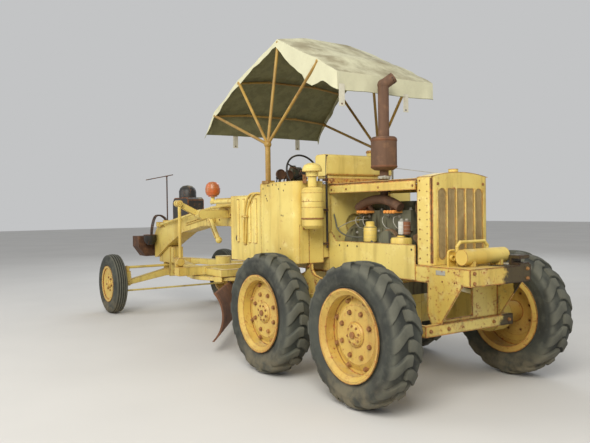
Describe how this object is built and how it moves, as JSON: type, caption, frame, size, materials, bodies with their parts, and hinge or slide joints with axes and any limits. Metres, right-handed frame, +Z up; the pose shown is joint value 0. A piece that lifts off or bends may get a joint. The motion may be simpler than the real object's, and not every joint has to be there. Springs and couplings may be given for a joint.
{
  "type": "motor grader",
  "caption": "Motor grader with an arched frame, tandem rear wheels, leaning front wheels, a turning blade circle on gear lift arms, an open engine and a cloth canopy.",
  "frame": {"origin": "middle of the machine's length and width, on the ground", "axes": "+X forward, +Y to the driver's left, +Z up"},
  "size_m": [8.06, 2.38, 3.6847],
  "materials": {
    "yellow_paint": "faded yellow paint, worn to rust at edges",
    "engine_iron": "dull grey-green paint with oil and dust",
    "rusty_steel": "brown rust",
    "black_metal": "worn black paint",
    "seat_cover": "black seat vinyl, matt with age",
    "tube_paint": "ochre paint on steel tube",
    "canopy_cloth": "cream canvas with brown stains",
    "beacon_lens": "dusty orange plastic",
    "tyre": "grey, weathered rubber"
  },
  "bodies": {
    "chassis": {"main_frame": "yellow_paint", "steering_gear": "yellow_paint", "front_box": "rusty_steel", "rear_frame": "yellow_paint", "axle_housing": "yellow_paint", "tandem_cases": "yellow_paint", "engine": "engine_iron", "exhaust_manifold": "rusty_steel", "radiator_shell": "yellow_paint", "radiator_core": "engine_iron", "hood": "yellow_paint", "engine_sides": "yellow_paint", "bulkhead": "yellow_paint", "fuel_tank": "yellow_paint", "muffler_stack": "rusty_steel", "air_cleaner": "yellow_paint", "platform": "yellow_paint", "cowls": "yellow_paint", "front_panels": "yellow_paint", "seat_frame": "black_metal", "seat_cushion": "seat_cover", "controls": "black_metal", "canopy_frame": "tube_paint", "canopy_cloth": "canopy_cloth", "beacon": "beacon_lens", "air_tank": "yellow_paint", "lift_housing": "yellow_paint", "centre_shift": "yellow_paint", "front_axle": "yellow_paint"},
    "lift_arm_left": {"lift_arm_left": "yellow_paint"},
    "lift_arm_right": {"lift_arm_right": "yellow_paint"},
    "lift_link_left": {"lift_link_left": "yellow_paint"},
    "lift_link_right": {"lift_link_right": "yellow_paint"},
    "drawbar": {"drawbar": "yellow_paint"},
    "blade": {"circle": "yellow_paint", "moldboard": "rusty_steel"},
    "lean_left": {"lean_bracket_left": "yellow_paint"},
    "lean_right": {"lean_bracket_right": "yellow_paint"},
    "lean_bar": {"lean_bar": "yellow_paint"},
    "knuckle_left": {"knuckle_left": "yellow_paint"},
    "knuckle_right": {"knuckle_right": "yellow_paint"},
    "tie_ball": {"tie_ball": "rusty_steel"},
    "tie_rod": {"tie_rod": "yellow_paint"},
    "front_wheel_left": {"front_rim_left": "yellow_paint", "front_tyre_left": "tyre"},
    "front_wheel_right": {"front_rim_right": "yellow_paint", "front_tyre_right": "tyre"},
    "rear_wheel_1": {"rear_rim_1": "yellow_paint", "rear_tyre_1": "tyre"},
    "rear_wheel_2": {"rear_rim_2": "yellow_paint", "rear_tyre_2": "tyre"},
    "rear_wheel_3": {"rear_rim_3": "yellow_paint", "rear_tyre_3": "tyre"},
    "rear_wheel_4": {"rear_rim_4": "yellow_paint", "rear_tyre_4": "tyre"}
  },
  "joints": [
    {"name": "rear_wheel_1", "type": "hinge", "parent": "chassis", "child": "rear_wheel_1", "pos_m": [-1.83, 1.01, 0.635], "axis": [0, 1, 0], "continuous": true},
    {"name": "rear_wheel_2", "type": "hinge", "parent": "chassis", "child": "rear_wheel_2", "pos_m": [-3.35, 1.01, 0.635], "axis": [0, 1, 0], "continuous": true},
    {"name": "rear_wheel_3", "type": "hinge", "parent": "chassis", "child": "rear_wheel_3", "pos_m": [-1.83, -1.01, 0.635], "axis": [0, 1, 0], "continuous": true},
    {"name": "rear_wheel_4", "type": "hinge", "parent": "chassis", "child": "rear_wheel_4", "pos_m": [-3.35, -1.01, 0.635], "axis": [0, 1, 0], "continuous": true},
    {"name": "lean_left", "type": "hinge", "parent": "chassis", "child": "lean_left", "pos_m": [3.21, 0.82, 0.5], "axis": [1, 0, 0], "range_deg": [-15, 15]},
    {"name": "lean_right", "type": "hinge", "parent": "chassis", "child": "lean_right", "pos_m": [3.21, -0.82, 0.5], "axis": [1, 0, 0], "range_deg": [-15, 15]},
    {"name": "lean_bar", "type": "hinge", "parent": "lean_left", "child": "lean_bar", "pos_m": [3.21, 0.82, 0.76], "axis": [1, 0, 0], "range_deg": [-15, 15]},
    {"name": "steer_left", "type": "hinge", "parent": "lean_left", "child": "knuckle_left", "pos_m": [3.21, 0.935, 0.5], "axis": [0, 0, 1], "range_deg": [-30, 30]},
    {"name": "steer_right", "type": "hinge", "parent": "lean_right", "child": "knuckle_right", "pos_m": [3.21, -0.935, 0.5], "axis": [0, 0, 1], "range_deg": [-30, 30]},
    {"name": "tie_ball", "type": "hinge", "parent": "knuckle_left", "child": "tie_ball", "pos_m": [3.01, 0.935, 0.3837], "axis": [0, 0, 1], "range_deg": [-30, 30]},
    {"name": "tie_rod", "type": "hinge", "parent": "tie_ball", "child": "tie_rod", "pos_m": [3.01, 0.935, 0.3837], "axis": [1, 0, 0], "range_deg": [-15, 15]},
    {"name": "front_wheel_left", "type": "hinge", "parent": "knuckle_left", "child": "front_wheel_left", "pos_m": [3.21, 1.07, 0.5], "axis": [0, 1, 0], "continuous": true},
    {"name": "front_wheel_right", "type": "hinge", "parent": "knuckle_right", "child": "front_wheel_right", "pos_m": [3.21, -1.07, 0.5], "axis": [0, 1, 0], "continuous": true},
    {"name": "blade_lift", "type": "hinge", "parent": "chassis", "child": "drawbar", "pos_m": [2.995, 0, 1.01], "axis": [0, 1, 0], "range_deg": [-2, 3]},
    {"name": "circle_turn", "type": "hinge", "parent": "drawbar", "child": "blade", "pos_m": [0.71, 0, 0.78], "axis": [0, 0, 1], "continuous": true},
    {"name": "lift_arm_left", "type": "hinge", "parent": "chassis", "child": "lift_arm_left", "pos_m": [0.77, 0.58, 1.67], "axis": [1, 0, 0], "range_deg": [-14.5, 21.5]},
    {"name": "lift_arm_right", "type": "hinge", "parent": "chassis", "child": "lift_arm_right", "pos_m": [0.77, -0.58, 1.67], "axis": [1, 0, 0], "range_deg": [-21.5, 14.5]},
    {"name": "lift_link_left", "type": "hinge", "parent": "lift_arm_left", "child": "lift_link_left", "pos_m": [0.7373, 0.9036, 1.8278], "axis": [1, 0, 0], "range_deg": [-17.5, 12]},
    {"name": "lift_link_right", "type": "hinge", "parent": "lift_arm_right", "child": "lift_link_right", "pos_m": [0.7373, -0.9036, 1.8278], "axis": [1, 0, 0], "range_deg": [-12, 17.5]}
  ],
  "couplings": [
    {"joint": "lean_right", "follows": "lean_left", "ratio": 1},
    {"joint": "lean_bar", "follows": "lean_left", "ratio": -1},
    {"joint": "tie_rod", "follows": "lean_left", "ratio": -0.877},
    {"joint": "steer_right", "follows": "steer_left", "ratio": 1},
    {"joint": "tie_ball", "follows": "steer_left", "ratio": -1},
    {"joint": "lift_arm_left", "follows": "blade_lift", "ratio": 6.98},
    {"joint": "lift_arm_right", "follows": "blade_lift", "ratio": -6.98},
    {"joint": "lift_link_left", "follows": "blade_lift", "ratio": -5.58},
    {"joint": "lift_link_right", "follows": "blade_lift", "ratio": 5.58}
  ]
}
